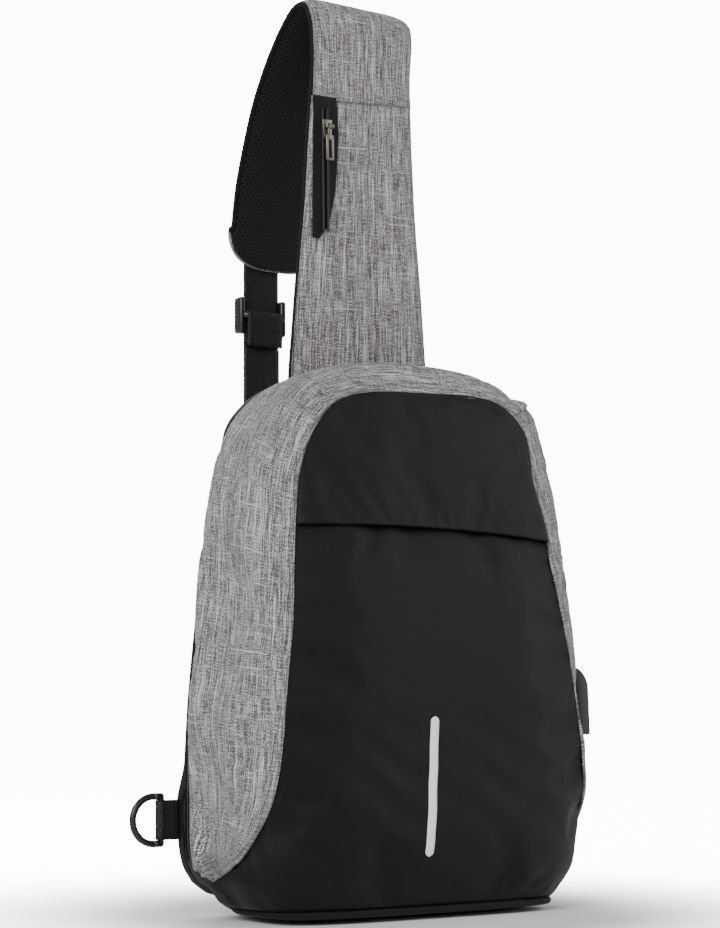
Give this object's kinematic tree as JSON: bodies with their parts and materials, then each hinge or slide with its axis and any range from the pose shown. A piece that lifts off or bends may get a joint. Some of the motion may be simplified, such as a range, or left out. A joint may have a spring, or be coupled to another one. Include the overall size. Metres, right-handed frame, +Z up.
{
  "type": "sling bag",
  "caption": "Single-strap sling bag with a fold-down back panel, padded shoulder strap with a zip pocket, adjuster webbing, side rings and cable hood.",
  "frame": {"origin": "middle of the flat base underside, on the surface the bag stands on", "axes": "+Z up, -Y the front of the bag, +X to the right of someone facing the front"},
  "size_m": [0.2879, 0.1699, 0.5444],
  "materials": {
    "black_fabric": "satin",
    "grey_fabric": "matte",
    "air_mesh": "matte",
    "lining": "matte",
    "webbing": "satin",
    "foam": "matte",
    "board": "matte",
    "zip_tape": "matte",
    "zip_coil": "gloss",
    "zip_metal": "polished",
    "reflective": "satin",
    "black_plastic": "gloss",
    "rubber": "matte",
    "socket_steel": "satin",
    "socket_plastic": "gloss"
  },
  "bodies": {
    "shell": {"front_lower_panel": "black_fabric", "front_upper_panel": "black_fabric", "left_gusset": "grey_fabric", "right_gusset": "grey_fabric", "top_gusset": "grey_fabric", "base_panel": "black_fabric", "left_base_cheek": "black_fabric", "right_base_cheek": "black_fabric", "base_piping": "black_fabric", "base_board": "board", "gusset_lining": "lining", "reflective_strip": "reflective", "front_zip_tapes": "zip_tape", "front_zip_coil": "zip_coil", "main_zip_shell_tape": "zip_tape", "main_zip_shell_coil": "zip_coil", "hinge_strip": "black_fabric", "cable_hood": "rubber", "cable_socket": "socket_steel", "socket_tongue": "socket_plastic"},
    "back": {"back_panel": "air_mesh", "back_board": "board", "tablet_sleeve": "lining", "main_zip_panel_tape": "zip_tape", "main_zip_panel_coil": "zip_coil", "strap_face": "grey_fabric", "strap_foam": "foam", "strap_mesh": "air_mesh", "strap_pocket_insert": "zip_tape", "strap_zip_coil": "zip_coil", "webbing": "webbing", "webbing_slack": "webbing", "left_ring_tab": "webbing", "right_ring_tab": "webbing", "hook_eye": "black_plastic"},
    "pocket_slider": {"front_zip_slider": "zip_metal", "front_zip_pull": "zip_metal"},
    "upper_slider": {"upper_zip_slider": "zip_metal"},
    "upper_pull": {"upper_zip_pull": "zip_metal"},
    "lower_slider": {"lower_zip_slider": "zip_metal"},
    "lower_pull": {"lower_zip_pull": "zip_metal"},
    "strap_slider": {"strap_zip_slider": "zip_metal"},
    "strap_pull": {"strap_zip_pull": "zip_metal"},
    "glide": {"tri_glide": "black_plastic", "webbing_end_loop": "webbing"},
    "ring_left": {"left_ring": "black_plastic"},
    "ring_right": {"right_ring": "black_plastic"},
    "hook": {"swivel_hook": "black_plastic"},
    "gate": {"hook_gate": "black_plastic"}
  },
  "joints": [
    {"name": "back_panel_fold", "type": "hinge", "parent": "shell", "child": "back", "pos_m": [0, 0.05, 0.008], "axis": [-1, 0, 0], "range_deg": [0, 60]},
    {"name": "pocket_zip", "type": "slide", "parent": "shell", "child": "pocket_slider", "axis": [1, 0, 0], "range_m": [-0.067, 0.037]},
    {"name": "upper_zip", "type": "slide", "parent": "shell", "child": "upper_slider", "axis": [-0.0909, -0.04, 0.9951], "range_m": [0, 0.028]},
    {"name": "upper_zip_pull_swing", "type": "hinge", "parent": "upper_slider", "child": "upper_pull", "pos_m": [0.11331, 0.03433, 0.1914], "axis": [0.0037, -0.9992, -0.04], "range_deg": [0, 150]},
    {"name": "lower_zip", "type": "slide", "parent": "shell", "child": "lower_slider", "axis": [0.0909, 0.04, -0.9951], "range_m": [0, 0.022]},
    {"name": "lower_zip_pull_swing", "type": "hinge", "parent": "lower_slider", "child": "lower_pull", "pos_m": [0.1155, 0.03529, 0.1674], "axis": [0.0037, -0.9992, -0.04], "range_deg": [0, 110]},
    {"name": "strap_zip", "type": "slide", "parent": "back", "child": "strap_slider", "axis": [0.0349, 0.0336, -0.9988], "range_m": [0, 0.046]},
    {"name": "strap_zip_pull_swing", "type": "hinge", "parent": "strap_slider", "child": "strap_pull", "pos_m": [-0.03063, 0.02067, 0.46674], "axis": [-0.9994, 0.0012, -0.0349], "range_deg": [0, 150]},
    {"name": "adjuster_slide", "type": "slide", "parent": "back", "child": "glide", "axis": [0, 0, -1], "range_m": [0, 0.036], "deforming": ["webbing_slack"]},
    {"name": "left_ring_swing", "type": "hinge", "parent": "back", "child": "ring_left", "pos_m": [-0.13, 0.048, 0.057], "axis": [0, 0, 1], "range_deg": [-75, 75]},
    {"name": "right_ring_swing", "type": "hinge", "parent": "back", "child": "ring_right", "pos_m": [0.13, 0.048, 0.057], "axis": [0, 0, 1], "range_deg": [-1.5, 6]},
    {"name": "hook_swivel", "type": "hinge", "parent": "back", "child": "hook", "pos_m": [0.12772, 0.06454, 0.06884], "axis": [-0.6, 0.5657, 0.5657], "range_deg": [-15, 15]},
    {"name": "hook_gate_swing", "type": "hinge", "parent": "hook", "child": "gate", "pos_m": [0.1254, 0.07215, 0.07645], "axis": [0, -0.7071, 0.7071], "range_deg": [0, 22], "stiffness_Nm_per_rad": 0.01, "springref_deg": -2.86}
  ]
}
